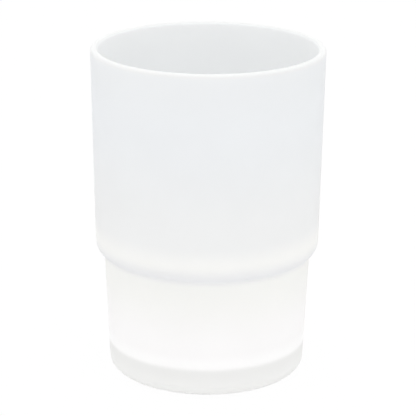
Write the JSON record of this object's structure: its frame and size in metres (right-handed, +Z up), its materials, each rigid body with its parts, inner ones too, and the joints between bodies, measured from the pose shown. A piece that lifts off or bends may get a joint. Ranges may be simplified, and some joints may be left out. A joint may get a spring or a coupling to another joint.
{
  "type": "bathroom tumbler",
  "caption": "Stepped round tumbler in satin translucent white plastic, with a rounded lip, a shoulder that can rest in a ring holder, and a thick base disc cemented in.",
  "frame": {"origin": "middle of the foot, on the plane that the tumbler stands on", "axes": "+Z up along the tumbler's axis, towards the mouth; X and Y are alike, because every piece is turned about Z"},
  "size_m": [0.075, 0.075, 0.1073],
  "materials": {
    "satin_wall": "translucent white, fine satin grain inside and out",
    "satin_base": "translucent white, satin",
    "clear_cement": "clear, smooth"
  },
  "bodies": {
    "root": {"stepped_wall": "satin_wall", "base_disc": "satin_base", "seam_bead": "clear_cement"}
  },
  "joints": []
}
